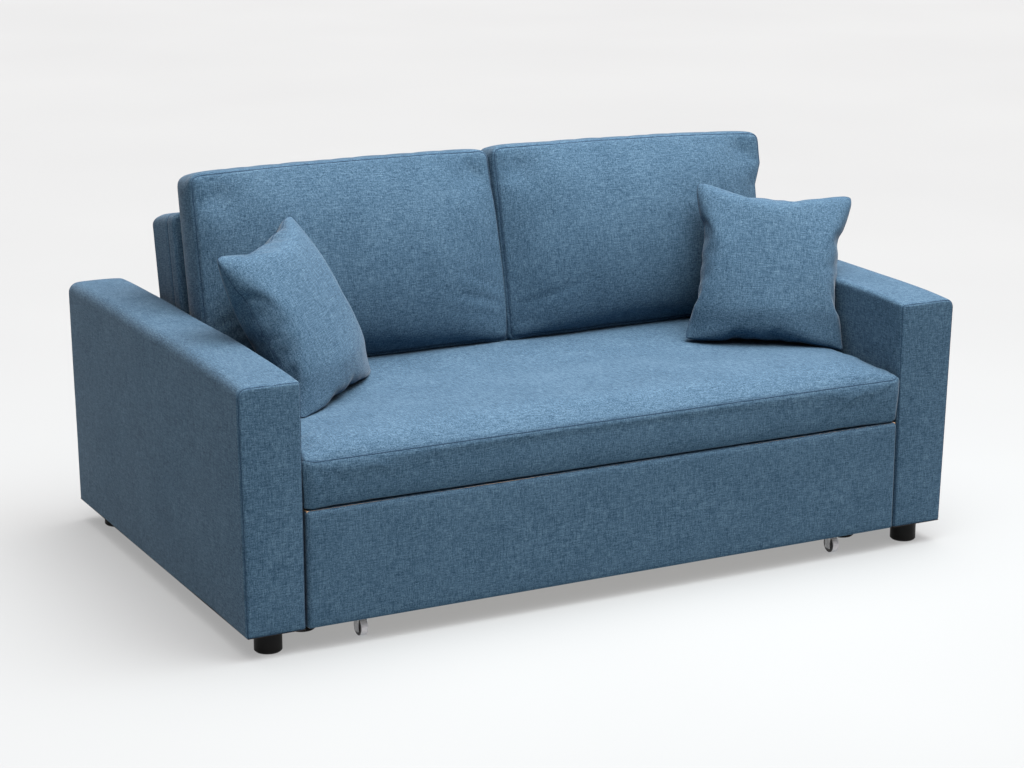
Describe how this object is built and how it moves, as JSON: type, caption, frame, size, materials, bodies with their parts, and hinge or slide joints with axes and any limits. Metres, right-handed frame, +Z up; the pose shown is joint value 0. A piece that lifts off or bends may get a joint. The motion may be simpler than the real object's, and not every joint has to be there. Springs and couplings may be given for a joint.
{
  "type": "futon sofa bed",
  "caption": "Two-seat fabric sofa bed with padded arms, a trundle bed on casters under the seat, a reclining backrest and loose cushions.",
  "frame": {"origin": "on the floor, midway across and midway between the seat's front and the arms' rear ends", "axes": "+X to the right when facing the sofa, +Y towards its back, +Z up"},
  "size_m": [1.75, 1.11, 0.907],
  "materials": {
    "blue_weave": "heathered plain weave",
    "foam": "open-cell foam",
    "timber": "planed softwood",
    "plywood": "sanded plywood",
    "hardboard": "smooth hardboard",
    "black_steel": "powder coat",
    "zinc_steel": "zinc plated",
    "black_plastic": "moulded, satin",
    "nylon": "moulded nylon",
    "black_cloth": "non-woven",
    "webbing": "woven elastic",
    "felt": "needled felt",
    "grey_rubber": "soft tread"
  },
  "bodies": {
    "base": {"arm_cover_left": "blue_weave", "arm_cover_right": "blue_weave", "arm_padding": "foam", "arm_skins": "hardboard", "arm_frames": "timber", "arm_base_cloths": "black_cloth", "outer_feet": "black_plastic", "inner_feet": "black_plastic", "foot_bolts": "zinc_steel", "corner_blocks": "timber", "arm_bolts": "zinc_steel", "box_side_left": "plywood", "box_side_right": "plywood", "seat_rails": "timber", "seat_centre_beam": "timber", "hinge_rail": "timber", "rear_panel": "plywood", "rear_panel_cover": "blue_weave", "webbing": "webbing", "seat_felt": "felt", "guide_tracks": "black_steel", "seat_cover": "blue_weave", "seat_filling": "foam", "hinge_brackets": "black_steel", "bracket_screws": "zinc_steel", "hinge_pins": "zinc_steel"},
    "trundle": {"panel_cover": "blue_weave", "panel_padding": "foam", "panel_board": "plywood", "trundle_side_rails": "timber", "trundle_cross_rails": "timber", "trundle_middle_rails": "timber", "lift_frame_sides": "black_steel", "lift_frame_ends": "black_steel", "lift_arms": "black_steel", "lift_pins": "zinc_steel", "slats": "timber", "mattress_cover": "blue_weave", "mattress_filling": "foam", "guide_shoes": "nylon", "guide_brackets": "black_steel", "caster_forks": "zinc_steel", "caster_axles": "zinc_steel"},
    "backrest": {"backrest_cover": "blue_weave", "backrest_filling": "foam", "backrest_board": "hardboard", "backrest_frame": "timber", "hinge_plates": "black_steel", "hinge_bolts": "zinc_steel"},
    "back_cushion_left": {"back_cushion_left_cover": "blue_weave", "back_cushion_left_filling": "foam"},
    "pillow_left": {"pillow_left": "blue_weave"},
    "back_cushion_right": {"back_cushion_right_cover": "blue_weave", "back_cushion_right_filling": "foam"},
    "pillow_right": {"pillow_right": "blue_weave"},
    "wheel_front_left": {"wheel_front_left": "grey_rubber"},
    "wheel_front_right": {"wheel_front_right": "grey_rubber"},
    "wheel_rear_left": {"wheel_rear_left": "grey_rubber"},
    "wheel_rear_right": {"wheel_rear_right": "grey_rubber"}
  },
  "joints": [
    {"name": "trundle_slide", "type": "slide", "parent": "base", "child": "trundle", "axis": [0, -1, 0], "range_m": [0, 0.6]},
    {"name": "backrest_recline", "type": "hinge", "parent": "base", "child": "backrest", "pos_m": [0, 0.181, 0.365], "axis": [-1, 0, 0], "range_deg": [0, 79]},
    {"name": "wheel_front_left_spin", "type": "hinge", "parent": "trundle", "child": "wheel_front_left", "pos_m": [-0.6, -0.499, 0.02], "axis": [1, 0, 0], "continuous": true},
    {"name": "wheel_front_right_spin", "type": "hinge", "parent": "trundle", "child": "wheel_front_right", "pos_m": [0.6, -0.499, 0.02], "axis": [1, 0, 0], "continuous": true},
    {"name": "wheel_rear_left_spin", "type": "hinge", "parent": "trundle", "child": "wheel_rear_left", "pos_m": [-0.6, 0.115, 0.02], "axis": [1, 0, 0], "continuous": true},
    {"name": "wheel_rear_right_spin", "type": "hinge", "parent": "trundle", "child": "wheel_rear_right", "pos_m": [0.6, 0.115, 0.02], "axis": [1, 0, 0], "continuous": true},
    {"name": "back_cushion_left_lift", "type": "slide", "parent": "backrest", "child": "back_cushion_left", "axis": [0, 0.1908, 0.9816], "range_m": [0, 0.5]},
    {"name": "back_cushion_right_lift", "type": "slide", "parent": "backrest", "child": "back_cushion_right", "axis": [0, 0.1908, 0.9816], "range_m": [0, 0.5]},
    {"name": "pillow_left_lift", "type": "slide", "parent": "base", "child": "pillow_left", "axis": [0, 0, 1], "range_m": [0, 0.5]},
    {"name": "pillow_right_lift", "type": "slide", "parent": "base", "child": "pillow_right", "axis": [0, 0, 1], "range_m": [0, 0.5]}
  ]
}
